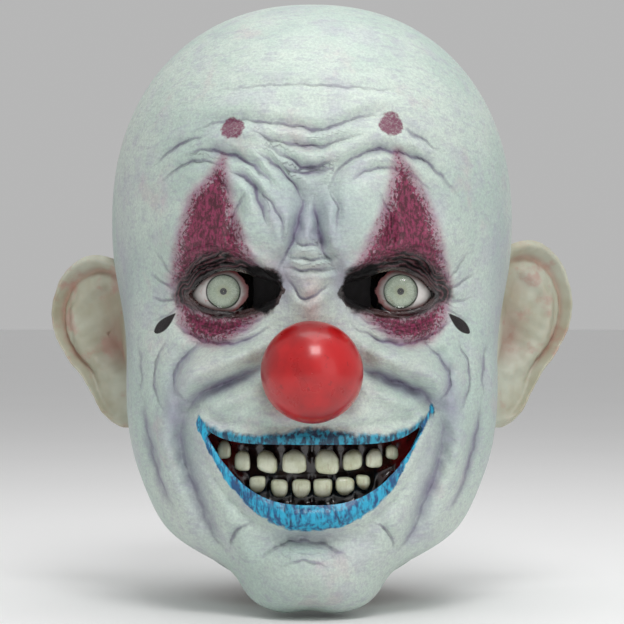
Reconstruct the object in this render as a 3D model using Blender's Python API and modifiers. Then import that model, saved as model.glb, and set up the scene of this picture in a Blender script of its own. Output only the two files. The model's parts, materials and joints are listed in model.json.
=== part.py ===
"""Over-the-head latex clown mask. Metres, +Z up. The face looks toward -Y and +X is the wearer's left. z = 0 is the bottom of the chin, and x = y = 0 is the head's own axis."""

import math

import bmesh
import bpy
import numpy as np

HEAD_HEIGHT = 0.300  # chin to crown
HEAD_WIDTH = 0.202  # across the skull, without the ears
HEAD_DEPTH = 0.236  # brow to back, without the nose
WALL = 0.0028  # latex wall
EYE_RADIUS = 0.0175
NOSE_RADIUS = 0.0237
EAR_WIDTH = 0.039
TOOTH_DEPTH = 0.0056
GUM_RECESS = 0.0150  # from the outside of the lips back to the gums
HINGE_INSET = 0.011  # from the side of the neck in to each flap's hinge line
FLAP_TOP = 0.150
GAP = 0.0005  # between neighbouring pieces
RIM_TILT = math.radians(18.5)  # the neck edge rises toward the back

SCALE = np.array((HEAD_WIDTH / 0.202, HEAD_DEPTH / 0.236, HEAD_HEIGHT / 0.300))
CENTRE = np.array((0.0, 0.0, 0.150))

# Rounded masses of the head at its nominal size: centre, radii, power.
MASSES = (
    ((0.0, 0.012, 0.190), (0.101, 0.118, 0.110), 2.2),  # skull
    ((0.0, -0.015, 0.110), (0.092, 0.080, 0.095), 2.4),  # jaw and cheeks
    ((0.0, -0.058, 0.082), (0.058, 0.046, 0.038), 2.1),  # muzzle
    ((0.0, -0.042, 0.050), (0.068, 0.050, 0.036), 2.2),  # underside of the jaw
    ((0.0, -0.066, 0.026), (0.040, 0.028, 0.026), 2.2),  # chin
    ((0.0, 0.030, 0.050), (0.056, 0.060, 0.120), 2.2),  # neck
)

# Bumps (+) and hollows (-) of the face: x, z, radius in x, radius in z, height. Those with x > 0 are mirrored.
RELIEF = (
    (0.042, 0.154, 0.026, 0.017, -0.0110),  # eye sockets
    (0.021, 0.182, 0.013, 0.022, 0.0060),  # inner brows
    (0.052, 0.179, 0.022, 0.010, 0.0040),  # outer brows
    (0.0, 0.150, 0.010, 0.026, 0.0070),  # bridge of the nose
    (0.044, 0.121, 0.019, 0.012, 0.0075),  # cheek apples
    (0.068, 0.105, 0.006, 0.022, -0.0040),  # folds outside the cheeks
    (0.056, 0.072, 0.006, 0.024, -0.0040),  # folds beside the mouth
    (0.0, 0.038, 0.026, 0.006, -0.0050),  # crease over the chin
    (0.0, 0.094, 0.030, 0.008, 0.0030),  # upper lip
    (0.0, 0.048, 0.026, 0.007, 0.0040),  # lower lip
    (0.0, 0.212, 0.070, 0.004, -0.0020),  # forehead lines
    (0.0, 0.228, 0.070, 0.004, -0.0020),
)
EYE = np.array((0.0418, -0.0690, 0.1547))  # centre of the left eyeball

bpy.ops.object.select_all(action="SELECT")
bpy.ops.object.delete()
bpy.context.scene.unit_settings.system = "METRIC"
helpers = bpy.data.collections.new("helpers")
bpy.context.scene.collection.children.link(helpers)


def field(points):
    """Signed field of the plain head in nominal metres, below zero inside."""
    total = None
    for centre, radii, power in MASSES:
        q = np.abs((points - np.array(centre)) / np.array(radii)) ** power
        mass = (q.sum(axis=-1) ** (1 / power) - 1) * min(radii)
        if total is None:
            total = mass
        else:
            h = np.clip(0.5 + 0.5 * (mass - total) / 0.012, 0, 1)
            total = mass + (total - mass) * h - 0.012 * h * (1 - h)
    return total


def cast(start, direction, reach=0.30):
    """The last point inside the head along each ray, by bisection."""
    low = np.zeros(len(direction))
    high = np.full(len(direction), reach)
    for _ in range(34):
        middle = (low + high) / 2
        inside = field(start + direction * middle[:, None]) < 0
        low = np.where(inside, middle, low)
        high = np.where(inside, high, middle)
    return start + direction * low[:, None]


def relief(points):
    """Moves points of the plain head to the face's relief, in nominal metres."""
    x, y, z = points.T
    push = np.zeros(len(points))
    for cx, cz, rx, rz, height in RELIEF:
        for side in (1, -1) if cx else (1,):
            push += height * np.exp(
                -(((x - side * cx) / rx) ** 2) - ((z - cz) / rz) ** 2
            )
    fade = np.clip((-0.015 - y) / 0.030, 0, 1)
    fade = fade * fade * (3 - 2 * fade)
    y = y - push * fade
    lid = EYE_RADIUS + WALL + 0.0006
    for side in (1, -1):
        away = ((x - side * EYE[0]) * SCALE[0]) ** 2 + ((z - EYE[2]) * SCALE[2]) ** 2
        ball = EYE[1] - np.sqrt(np.clip(lid**2 - away, 0, None)) / SCALE[1]
        ball = np.where(away < lid**2, ball, 0.0)
        h = np.clip(0.5 + 0.5 * (y - ball) / 0.003, 0, 1)
        y = np.where(fade > 0, y + (ball - y) * h - 0.003 * h * (1 - h), y)
    # The chin is pinched in at the jaw and has a shallow cleft below.
    near = np.clip((0.01 - y) / 0.03, 0, 1)
    x = x * (1 - 0.14 * near * np.exp(-(((z - 0.020) / 0.012) ** 2)))
    z = z + 0.0026 * near * np.exp(-(((x + 0.001) / 0.009) ** 2) - (z / 0.010) ** 2)
    return np.stack((x, y, z), axis=1)


def front(x, z):
    """y of the face's outside at nominal x and z, in real metres."""
    x, z = np.atleast_1d(x).astype(float), np.atleast_1d(z).astype(float)
    start = np.stack((x, np.full_like(x, -0.02), z), axis=1)
    points = cast(start, np.tile((0.0, -1.0, 0.0), (len(x), 1)), 0.14)
    return relief(points)[:, 1] * SCALE[1]


def add(name, vertices, faces, helper=False):
    mesh = bpy.data.meshes.new(name)
    mesh.from_pydata([tuple(map(float, v)) for v in vertices], [], faces)
    tidy = bmesh.new()
    tidy.from_mesh(mesh)
    bmesh.ops.recalc_face_normals(tidy, faces=tidy.faces)
    tidy.to_mesh(mesh)
    tidy.free()
    made = bpy.data.objects.new(name, mesh)
    (helpers if helper else bpy.context.scene.collection).objects.link(made)
    if helper:
        made.hide_render = True
        made.display_type = "WIRE"
    return made


def boolean(target, cutter, operation="DIFFERENCE"):
    modifier = target.modifiers.new(cutter.name, "BOOLEAN")
    modifier.operation = operation
    modifier.solver = "EXACT"
    modifier.object = cutter


def lathe(name, profile, centre, forward, steps=32, helper=False):
    """Turns a (radius, height) profile about an axis. A profile that starts and ends on the axis closes itself; any other is a ring."""
    forward = np.array(forward) / np.linalg.norm(forward)
    side = np.cross(forward, (0.0, 0.0, 1.0))
    side /= np.linalg.norm(side)
    up = np.cross(side, forward)
    vertices, rows = [], []
    for radius, height in profile:
        row = []
        count = 1 if radius < 1e-9 else steps
        for step in range(count):
            angle = 2 * math.pi * step / steps
            row.append(len(vertices))
            vertices.append(
                np.array(centre)
                + forward * height
                + radius * (side * math.cos(angle) + up * math.sin(angle))
            )
        rows.append(row)
    if profile[0][0] > 1e-9:
        rows.append(rows[0])
    faces = []
    for low, high in zip(rows, rows[1:]):
        for step in range(steps):
            following = (step + 1) % steps
            if len(low) == 1 and len(high) == 1:
                continue
            if len(low) == 1:
                faces.append((low[0], high[step], high[following]))
            elif len(high) == 1:
                faces.append((low[step], low[following], high[0]))
            else:
                faces.append(
                    (low[step], low[following], high[following], high[step])
                )
    return add(name, vertices, faces, helper)


def prism(name, outline, near, far):
    """A cutter along Y through a closed outline of (x, z) points in real metres."""
    count = len(outline)
    vertices = [(x, near, z) for x, z in outline] + [(x, far, z) for x, z in outline]
    faces = [tuple(range(count)), tuple(range(2 * count - 1, count - 1, -1))]
    for i in range(count):
        j = (i + 1) % count
        faces.append((i, j, j + count, i + count))
    return add(name, vertices, faces, helper=True)


def slab(name, front_grid, back_grid):
    """A closed body between two grids of points with the same shape (rows, columns, 3)."""
    rows, columns = front_grid.shape[:2]
    vertices = np.concatenate((front_grid.reshape(-1, 3), back_grid.reshape(-1, 3)))
    shift = rows * columns
    faces = []
    for i in range(rows - 1):
        for j in range(columns - 1):
            a = i * columns + j
            faces.append((a, a + 1, a + columns + 1, a + columns))
            a += shift
            faces.append((a + columns, a + columns + 1, a + 1, a))
    ring = (
        [j for j in range(columns)]
        + [i * columns + columns - 1 for i in range(1, rows)]
        + [(rows - 1) * columns + j for j in range(columns - 2, -1, -1)]
        + [i * columns for i in range(rows - 2, 0, -1)]
    )
    for a, b in zip(ring, ring[1:] + ring[:1]):
        faces.append((a, b, b + shift, a + shift))
    return add(name, vertices, faces)


# The closed head form that the skin, the ears and the flaps come from.


def head_form(name, outward=0.0, helper=True):
    around, rings = 64, 37
    directions = [(0.0, -1.0, 0.0)]
    for ring in range(1, rings):
        polar = math.pi * (ring / rings) ** 1.22
        for step in range(around):
            angle = 2 * math.pi * step / around
            directions.append(
                (
                    math.sin(polar) * math.cos(angle),
                    -math.cos(polar),
                    math.sin(polar) * math.sin(angle),
                )
            )
    directions.append((0.0, 1.0, 0.0))
    points = relief(cast(CENTRE, np.array(directions))) * SCALE
    faces = []
    last = len(directions) - 1
    for step in range(around):
        following = (step + 1) % around
        faces.append((0, 1 + following, 1 + step))
        for ring in range(rings - 2):
            a = 1 + ring * around
            faces.append(
                (a + step, a + following, a + around + following, a + around + step)
            )
        a = 1 + (rings - 2) * around
        faces.append((a + step, a + following, last))
    made = add(name, points, faces, helper)
    if outward:
        normals = [tuple(v.normal) for v in made.data.vertices]
        for vertex, normal in zip(made.data.vertices, normals):
            for axis in range(3):
                vertex.co[axis] += outward * normal[axis]
    return made


def shelled(name, helper=False):
    made = head_form(name, helper=helper)
    shell = made.modifiers.new("wall", "SOLIDIFY")
    shell.thickness = WALL
    shell.offset = -1
    return made


# Everything below the neck edge.
rim_point = np.array((0.0, -0.060, -0.001)) * SCALE
rim_up = np.array((0.0, -math.sin(RIM_TILT), math.cos(RIM_TILT)))
rim_along = np.array((0.0, math.cos(RIM_TILT), math.sin(RIM_TILT)))


def tilted_box(name, origin, x_range, along, y_range, up, z_range):
    corners = [
        origin + np.array((x, 0.0, 0.0)) + along * y + up * z
        for z in z_range
        for y in y_range
        for x in x_range
    ]
    faces = [
        (0, 1, 3, 2),
        (4, 6, 7, 5),
        (0, 4, 5, 1),
        (2, 3, 7, 6),
        (0, 2, 6, 4),
        (1, 5, 7, 3),
    ]
    return add(name, corners, faces, helper=True)


neck_cut = tilted_box(
    "neck_cut", rim_point, (-0.2, 0.2), rim_along, (-0.004, 0.3), rim_up, (-0.2, 0.0)
)

# The two springy flaps of the nape. Their hinge line lies just outside the skin.
heights = np.linspace(0.045, FLAP_TOP, 12)
edge = MASSES[-1][1][0] * SCALE[0] - HINGE_INSET
nape = cast(
    np.stack(
        (
            np.full_like(heights, edge / SCALE[0]),
            np.full_like(heights, 0.02),
            heights,
        ),
        axis=1,
    ),
    np.tile((0.0, 1.0, 0.0), (len(heights), 1)),
    0.2,
)
nape = nape * SCALE
hinge_along = nape[-1] - nape[0]
hinge_along /= np.linalg.norm(hinge_along)
hinge_out = np.array((0.0, hinge_along[2], -hinge_along[1]))
hinge_offset = ((nape - nape[0]) @ hinge_out).max() + 0.0008
hinge_point = nape[-1] + hinge_out * hinge_offset
nape_up = hinge_along
nape_back = hinge_out
flap_origin = np.array((0.0, hinge_point[1], hinge_point[2]))
flap_reach = 0.030 * SCALE[1]  # forward of the hinge line, past the side of the neck

skin = shelled("head_skin")
boolean(skin, neck_cut)
boolean(
    skin,
    tilted_box(
        "nape_slit",
        flap_origin,
        (-edge, edge),
        nape_back,
        (-flap_reach, 0.10),
        nape_up,
        (-0.25, 0.0),
    ),
)
for side, word in ((1, "left"), (-1, "right")):
    flap = shelled("rear_flap_" + word)
    boolean(flap, neck_cut)
    near, far = 0.001, edge - GAP
    boolean(
        flap,
        tilted_box(
            "flap_box_" + word,
            flap_origin,
            (near, far) if side > 0 else (-far, -near),
            nape_back,
            (-flap_reach, 0.10),
            nape_up,
            (-0.25, -GAP),
        ),
        "INTERSECT",
    )

# The nose: a hollow ball with its back open to the face.
nose_centre = np.array((0.0, -0.112, 0.1173)) * SCALE


def ball(radius, angles):
    return [(radius * math.sin(a), radius * math.cos(a)) for a in angles]


turn = np.linspace(0, math.radians(138), 13)
lathe(
    "nose_ball",
    ball(NOSE_RADIUS, turn) + ball(NOSE_RADIUS - 0.0022, turn[::-1]),
    nose_centre,
    (0.0, -1.0, 0.0),
    36,
)
boolean(
    skin,
    lathe(
        "nose_hole",
        ball(NOSE_RADIUS + GAP, np.linspace(0, math.pi, 17)),
        nose_centre,
        (0.0, -1.0, 0.0),
        36,
        helper=True,
    ),
)

# Eyes: a white shell with a hole, an iris disc behind it and a clear cornea in the hole.
EYE_OUTLINE = (
    (0.0585, 0.1530),
    (0.0520, 0.1600),
    (0.0420, 0.1640),
    (0.0330, 0.1635),
    (0.0250, 0.1605),
    (0.0150, 0.1580),
    (0.0160, 0.1515),
    (0.0240, 0.1480),
    (0.0330, 0.1458),
    (0.0430, 0.1453),
    (0.0530, 0.1480),
)
R = EYE_RADIUS
for side, word in ((1, "left"), (-1, "right")):
    centre = EYE * SCALE * (side, 1, 1)
    hole = math.radians(27.5)
    sweep = np.linspace(hole, math.radians(84), 8)
    lathe(
        "eye_shell_" + word,
        ball(R, sweep) + ball(R - 0.0015, sweep[::-1]),
        centre,
        (0.0, -1.0, 0.0),
        32,
    )
    seat = (R - 0.0015) * math.cos(hole)
    lathe(
        "iris_" + word,
        [
            (0.0, seat - 0.0003),
            (0.415 * R, seat - 0.0003),
            (0.415 * R, seat - 0.0010),
            (0.0, seat - 0.0010),
        ],
        centre,
        (0.0, -1.0, 0.0),
        24,
    )
    lathe(
        "cornea_" + word,
        [
            (0.0, seat + 0.0002),
            (0.400 * R, seat + 0.0002),
            (0.425 * R, 0.895 * R),
            (0.345 * R, 0.965 * R),
            (0.200 * R, 1.025 * R),
            (0.0, 1.055 * R),
        ],
        centre,
        (0.0, -1.0, 0.0),
        24,
    )
    boolean(
        skin,
        lathe(
            "eye_room_" + word,
            ball(R + GAP, np.linspace(0, math.pi, 15)),
            centre,
            (0.0, -1.0, 0.0),
            32,
            helper=True,
        ),
    )
    outline = [(side * x * SCALE[0], z * SCALE[2]) for x, z in EYE_OUTLINE]
    boolean(skin, prism("eye_cut_" + word, outline, -0.16, -0.045 * SCALE[1]))
    # The dark see-through panel behind the inner corner of the eye.
    inner, outer = 0.0105, 0.0225
    grid = np.empty((4, 5, 3))
    for i, z in enumerate(np.linspace(0.1455, 0.1615, 4)):
        for j, x in enumerate(np.linspace(inner, outer, 5)):
            y = float(front(np.array([0.016]), np.array([0.1545]))[0])
            grid[i, j] = (
                side * x * SCALE[0],
                y + WALL + 0.0055 + 0.9 * (x - inner) * SCALE[0],
                z * SCALE[2],
            )
    slab("vision_gauze_" + word, grid, grid + np.array((0.0, 0.0010, 0.0)))

# The mouth.
HALF_MOUTH = {-1: 0.0525, 1: 0.0560}  # the grin is a little lopsided
UPPER_RISE = {-1: 0.0095, 1: 0.0150}
LOWER_RISE = {-1: 0.0380, 1: 0.0435}


def upper_edge(x):
    side = -1 if x < 0 else 1
    return 0.0835 + UPPER_RISE[side] * (abs(x) / HALF_MOUTH[side]) ** 6


def lower_edge(x):
    side = -1 if x < 0 else 1
    return 0.0550 + LOWER_RISE[side] * (abs(x) / HALF_MOUTH[side]) ** 2.8


def bite(x):
    share = max(0.06, 0.5 * (1 - (x / 0.050) ** 2))
    return lower_edge(x) + share * (upper_edge(x) - lower_edge(x))


spread = np.sin(np.linspace(-1, 1, 23) * math.pi / 2)
spread *= np.where(spread < 0, HALF_MOUTH[-1], HALF_MOUTH[1])
outline = [(x * SCALE[0], upper_edge(x) * SCALE[2]) for x in spread]
outline += [(x * SCALE[0], lower_edge(x) * SCALE[2]) for x in spread[-2:0:-1]]
boolean(skin, prism("mouth_cut", outline, -0.16, -0.045 * SCALE[1]))


def gum(name, low, high):
    columns = np.linspace(-0.052, 0.052, 21)
    grid = np.empty((5, len(columns), 3))
    for j, x in enumerate(columns):
        for i, share in enumerate(np.linspace(0, 1, 5)):
            z = low(x) + share * (high(x) - low(x))
            y = float(front(x, z)[0]) + GUM_RECESS
            grid[i, j] = (x * SCALE[0], y, z * SCALE[2])
    return slab(name, grid, grid + np.array((0.0, 0.0040, 0.0)))


gum("upper_gum", lambda x: bite(x) + 0.0004, lambda x: upper_edge(x) + 0.006)
gum("lower_gum", lambda x: lower_edge(x) - 0.006, lambda x: bite(x) - 0.0004)

# Teeth: x, z, width and height of each, from the wearer's right to the left.
UPPER_TEETH = (
    (-0.0414, 0.0800, 0.0061, 0.0085),
    (-0.0326, 0.0752, 0.0070, 0.0098),
    (-0.0209, 0.0748, 0.0089, 0.0100),
    (-0.0083, 0.0750, 0.0112, 0.0112),
    (0.0070, 0.0750, 0.0117, 0.0112),
    (0.0188, 0.0758, 0.0089, 0.0094),
    (0.0293, 0.0762, 0.0075, 0.0089),
    (0.0377, 0.0792, 0.0056, 0.0070),
)
LOWER_TEETH = (
    (-0.0255, 0.0640, 0.0072, 0.0076),
    (-0.0154, 0.0620, 0.0084, 0.0086),
    (-0.0051, 0.0622, 0.0084, 0.0090),
    (0.0051, 0.0624, 0.0087, 0.0090),
    (0.0153, 0.0632, 0.0087, 0.0085),
    (0.0240, 0.0650, 0.0070, 0.0070),
)


def tooth(name, x, z, width, height):
    steps, rings = 12, 8
    slope = float(front(x + 0.002, z)[0] - front(x - 0.002, z)[0]) / 0.004
    yaw = math.atan(slope / SCALE[0])
    dx = np.tile(np.linspace(-0.45, 0.45, 4) * width, 4)
    dz = np.repeat(np.linspace(-0.45, 0.45, 4) * height, 4)
    gum_face = front(x + dx, z + dz) - dx * SCALE[0] * math.tan(yaw)
    y = float(gum_face.min()) + GUM_RECESS
    y -= (TOOTH_DEPTH / 2 + GAP) / math.cos(yaw)
    vertices, rows = [], []
    for ring in range(rings + 1):
        polar = math.pi * ring / rings
        row = []
        for step in range(1 if ring in (0, rings) else steps):
            angle = 2 * math.pi * step / steps
            unit = np.array(
                (
                    math.sin(polar) * math.cos(angle),
                    math.sin(polar) * math.sin(angle),
                    math.cos(polar),
                )
            )
            unit = unit / (np.abs(unit) ** 3.2).sum() ** (1 / 3.2)
            px = unit[0] * SCALE[0] * width / 2
            py = unit[1] * TOOTH_DEPTH / 2
            pz = unit[2] * SCALE[2] * height / 2
            row.append(len(vertices))
            vertices.append(
                (
                    x * SCALE[0] + px * math.cos(yaw) - py * math.sin(yaw),
                    y + px * math.sin(yaw) + py * math.cos(yaw),
                    z * SCALE[2] + pz,
                )
            )
        rows.append(row)
    faces = []
    for low, high in zip(rows, rows[1:]):
        for step in range(steps):
            following = (step + 1) % steps
            if len(low) == 1:
                faces.append((low[0], high[step], high[following]))
            elif len(high) == 1:
                faces.append((low[step], low[following], high[0]))
            else:
                faces.append(
                    (low[step], low[following], high[following], high[step])
                )
    add(name, vertices, faces)


for number, values in enumerate(UPPER_TEETH, 1):
    tooth(f"upper_tooth_{number}", *values)
for number, values in enumerate(LOWER_TEETH, 1):
    tooth(f"lower_tooth_{number}", *values)

# Ears, in the plane of each ear: u runs out from the root, v is the height.
EAR_OUTLINE = (
    (-0.006, 0.176),
    (0.003, 0.1805),
    (0.013, 0.1820),
    (0.024, 0.1785),
    (0.033, 0.1700),
    (0.0380, 0.1590),
    (0.0390, 0.1480),
    (0.0355, 0.1350),
    (0.0275, 0.1225),
    (0.0205, 0.1130),
    (0.0150, 0.1015),
    (0.0095, 0.0915),
    (0.0030, 0.0870),
    (-0.004, 0.0900),
    (-0.008, 0.1050),
    (-0.009, 0.1250),
    (-0.009, 0.1500),
    (-0.008, 0.1650),
)
skull = head_form("skull_with_gap", GAP)
EAR_TURN = math.radians(60)
EAR_STRETCH = {-1: 0.91, 1: 0.99}  # the two ears differ a little in height
for side, word in ((1, "left"), (-1, "right")):
    count = len(EAR_OUTLINE)
    stretch = EAR_STRETCH[side]
    middle = np.array((0.012, 0.138))
    shares = (0.0, 0.28, 0.50, 0.68, 0.84, 0.95, 1.0)
    loops = []
    for face_side in (1, -1):
        for share in shares[: -1 if face_side < 0 else None]:
            loop = []
            for u0, v0 in EAR_OUTLINE if share else EAR_OUTLINE[:1]:
                u, v = middle + (np.array((u0, v0)) - middle) * share
                bowl = math.exp(
                    -(((u - 0.007) / 0.011) ** 2) - ((v - 0.136) / 0.020) ** 2
                )
                ridge = math.exp(-(((share - 0.62) / 0.10) ** 2))
                rolled = math.exp(-(((share - 0.92) / 0.09) ** 2))
                height = -0.007 * bowl + 0.0010 * ridge + 0.0035 * rolled
                if face_side < 0:
                    height = -0.007 * bowl - 0.0032
                out = np.array((math.sin(EAR_TURN), math.cos(EAR_TURN), 0.0))
                toward = np.array((math.cos(EAR_TURN), -math.sin(EAR_TURN), 0.0))
                where = (
                    np.array((0.0985 * SCALE[0], 0.002, 0.0))
                    + out * u * EAR_WIDTH / 0.039
                    + toward * height
                )
                where[2] = (0.087 + (v - 0.087) * stretch) * SCALE[2]
                loop.append(where * (side, 1, 1))
            loops.append(loop)
    vertices, rows = [], []
    for loop in loops:
        rows.append(list(range(len(vertices), len(vertices) + len(loop))))
        vertices.extend(loop)
    fronts = rows[: len(shares)]
    backs = rows[len(shares) :] + [rows[len(shares) - 1]]
    faces = []
    for chain in (fronts, backs):
        for low, high in zip(chain, chain[1:]):
            for step in range(count):
                following = (step + 1) % count
                if len(low) == 1:
                    faces.append((low[0], high[step], high[following]))
                else:
                    faces.append(
                        (low[step], low[following], high[following], high[step])
                    )
    ear = add("ear_" + word, vertices, faces)
    boolean(ear, skull)


# Foam pads inside the shell: each is an oval patch of directions from the head's centre.
def pad(name, direction, half_wide, half_high, thickness, room=0.0008):
    direction = np.array(direction) / np.linalg.norm(direction)
    side = np.cross(direction, (0.0, 0.0, 1.0))
    if np.linalg.norm(side) < 0.1:
        side = np.array((1.0, 0.0, 0.0))
    side /= np.linalg.norm(side)
    up = np.cross(side, direction)
    rows, columns = 7, 9
    grids = np.empty((2, rows, columns, 3))
    for i, v in enumerate(np.linspace(-1, 1, rows)):
        for j, u in enumerate(np.linspace(-1, 1, columns)):
            a = u * math.sqrt(1 - 0.42 * v * v) * half_wide
            b = v * math.sqrt(1 - 0.42 * u * u) * half_high
            around = [direction + side * a + up * b]
            for da, db in ((0.02, 0.0), (0.0, 0.02)):
                around.append(direction + side * (a + da) + up * (b + db))
            around = np.array(around)
            around /= np.linalg.norm(around, axis=1)[:, None]
            p, q, r = relief(cast(CENTRE, around)) * SCALE
            normal = np.cross(q - p, r - p)
            normal /= np.linalg.norm(normal)
            if normal @ (p - CENTRE * SCALE) < 0:
                normal = -normal
            grids[0, i, j] = p - normal * (WALL + room)
            grids[1, i, j] = p - normal * (WALL + room + thickness)
    slab(name, grids[0], grids[1])


pad("forehead_pad", (0.0, -1.0, 0.62), 0.50, 0.24, 0.007, 0.0022)
pad("crown_pad", (0.0, 0.10, 1.0), 0.40, 0.34, 0.009)
pad("temple_pad_left", (1.0, 0.02, 0.20), 0.34, 0.26, 0.007)
pad("temple_pad_right", (-1.0, 0.02, 0.20), 0.34, 0.26, 0.007)
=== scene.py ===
"""The look of the latex clown mask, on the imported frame."""

import json
from math import cos, pi, radians, sin

import bpy
import numpy as np
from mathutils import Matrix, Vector


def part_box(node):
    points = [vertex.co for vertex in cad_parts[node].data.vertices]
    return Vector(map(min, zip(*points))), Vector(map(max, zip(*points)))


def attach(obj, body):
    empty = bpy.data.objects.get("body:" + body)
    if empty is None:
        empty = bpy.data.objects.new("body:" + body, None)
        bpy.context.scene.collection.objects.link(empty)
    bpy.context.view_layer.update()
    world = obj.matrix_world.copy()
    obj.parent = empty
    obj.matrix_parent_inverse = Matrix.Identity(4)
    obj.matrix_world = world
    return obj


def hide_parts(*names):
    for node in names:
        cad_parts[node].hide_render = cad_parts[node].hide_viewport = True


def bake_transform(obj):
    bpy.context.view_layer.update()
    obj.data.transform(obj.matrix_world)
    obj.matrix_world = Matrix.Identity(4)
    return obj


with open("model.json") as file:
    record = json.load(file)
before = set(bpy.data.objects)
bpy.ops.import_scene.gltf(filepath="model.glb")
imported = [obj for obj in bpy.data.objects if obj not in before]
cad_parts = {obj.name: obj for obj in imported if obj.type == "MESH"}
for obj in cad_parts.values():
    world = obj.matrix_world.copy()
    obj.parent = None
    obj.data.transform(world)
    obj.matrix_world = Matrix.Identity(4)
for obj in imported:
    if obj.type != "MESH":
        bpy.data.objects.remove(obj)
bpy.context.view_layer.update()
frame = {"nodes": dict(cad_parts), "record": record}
link = bpy.context.scene.collection.objects.link

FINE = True
MM = 1000
WALL = 0.0028
BLEND = 0.012  # how softly the head's masses join
RIM_TILT = radians(18.5)
RIM_POINT = np.array((0.0, -0.060, -0.001))
RIM_UP = np.array((0.0, -sin(RIM_TILT), cos(RIM_TILT)))
EDGE, FLAP_TOP, FLAP_REACH = 0.045, 0.150, 0.030
EYE = np.array((0.0418, -0.0690, 0.1547))
EYE_R, IRIS_R = 0.0175, 0.0080
EYE_CORNERS = (0.0145, 0.0585)
MOUTH = (-0.0525, 0.056)  # its corners in x
NOSE, NOSE_R = np.array((0.0, -0.112, 0.1173)), 0.0237
SIDES = ((1, "left"), (-1, "right"))
CENTRE = np.array((0.0, 0.0, 0.150))
GUM_RECESS = 0.0150
MASSES = (
    ((0.0, 0.012, 0.190), (0.101, 0.118, 0.110), 2.2),  # skull
    ((0.0, -0.015, 0.110), (0.092, 0.080, 0.095), 2.4),  # jaw and cheeks
    ((0.0, -0.058, 0.082), (0.058, 0.046, 0.038), 2.1),  # muzzle
    ((0.0, -0.042, 0.050), (0.068, 0.050, 0.036), 2.2),  # underside of the jaw
    ((0.0, -0.066, 0.026), (0.040, 0.028, 0.026), 2.2),  # chin
    ((0.0, 0.030, 0.050), (0.056, 0.060, 0.120), 2.2),  # neck
)

# ---- the form


def clamp(values):
    return np.clip(values, 0, 1)


def bell(values, width):
    """1 at zero, falling smoothly to nothing beyond the width."""
    return np.exp(-((values / width) ** 2))


def smooth_min(a, b, blend):
    h = clamp(0.5 + 0.5 * (b - a) / blend)
    return b + (a - b) * h - blend * h * (1 - h)


def field(points):
    """Below zero inside the head, a rough distance outside."""
    total = None
    for centre, radii, power in MASSES:
        q = np.abs((points - np.array(centre)) / np.array(radii)) ** power
        mass = (q.sum(axis=-1) ** (1 / power) - 1) * min(radii)
        total = mass if total is None else smooth_min(total, mass, BLEND)
    return total


def cast(start, direction, reach=0.30):
    """Where each ray leaves the head."""
    low = np.zeros(len(direction))
    high = np.full(len(direction), reach)
    for _ in range(26):
        middle = (low + high) / 2
        inside = field(start + direction * middle[:, None]) < 0
        low = np.where(inside, middle, low)
        high = np.where(inside, high, middle)
    return start + direction * low[:, None]


def curve(points, per=6):
    """A smooth line through points (mm), given as pairs or in one row."""
    p = np.array(points, float).reshape(-1, 2) / MM
    p = np.vstack((2 * p[0] - p[1], p, 2 * p[-1] - p[-2]))
    out = []
    for a, b, c, d in zip(p, p[1:], p[2:], p[3:]):
        for t in np.linspace(0, 1, per, endpoint=False):
            bend = (2 * a - 5 * b + 4 * c - d) * t * t + (3 * b - a - 3 * c + d) * t**3
            out.append(0.5 * (2 * b + (c - a) * t + bend))
    return np.array(out + [p[-2]])


def along(x, z, line):
    """Distance of every (x, z) to a line, its share along it, and the side it lies on."""
    best = np.full(x.shape, 1e9)
    share, side = np.zeros((2, *x.shape))
    for i, (a, b) in enumerate(zip(line, line[1:])):
        ab = b - a
        t = clamp(((x - a[0]) * ab[0] + (z - a[1]) * ab[1]) / max(ab @ ab, 1e-12))
        dx, dz = x - a[0] - t * ab[0], z - a[1] - t * ab[1]
        d = np.hypot(dx, dz)
        closer = d < best
        best = np.where(closer, d, best)
        share = np.where(closer, (i + t) / (len(line) - 1), share)
        side = np.where(closer, np.sign(ab[0] * dz - ab[1] * dx), side)
    return best, share, side


def mirror(points):
    return np.reshape(points, (-1, 2)) * (-1, 1)


# Broad forms: x, z, radius in x, radius in z, height (mm). Those with x > 0 are mirrored.
BROAD = (
    (42, 154, 26, 16, -12.5),
    (50, 180, 20, 10, 5.0),
    (0, 150, 9.0, 24, 8.0),
    (58, 118, 9, 9, 2.0),
    (0, 38, 26, 5, -5.5),
    (0, 19, 20, 12, 3.5),
    (33, 22, 9, 14, -2.5),
    (0, 48, 28, 7, 3.5),
    (38, 205, 20, 9, 2.5),
    (0, 203, 14, 16, -2.5),
    (50, 236, 24, 18, 1.8),
    (78, 168, 9, 30, -3.0),
    (36, 42, 9, 12, 2.5),
)

# Full, steep-sided bulges: x, z, radius across, radius along, lean (degrees), height (mm).
BULGES = (
    (-22, 185, 15.5, 22, -12, 8.5),
    (19, 185, 15.5, 22, 12, 8.5),
    (-44, 120, 24, 11.5, -25, 7.5),
    (44, 120, 24, 11.5, 25, 7.5),
    (0, 100, 44, 9, 0, 3.0),
    (0, 18, 30, 16, 0, 2.5),
)

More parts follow.
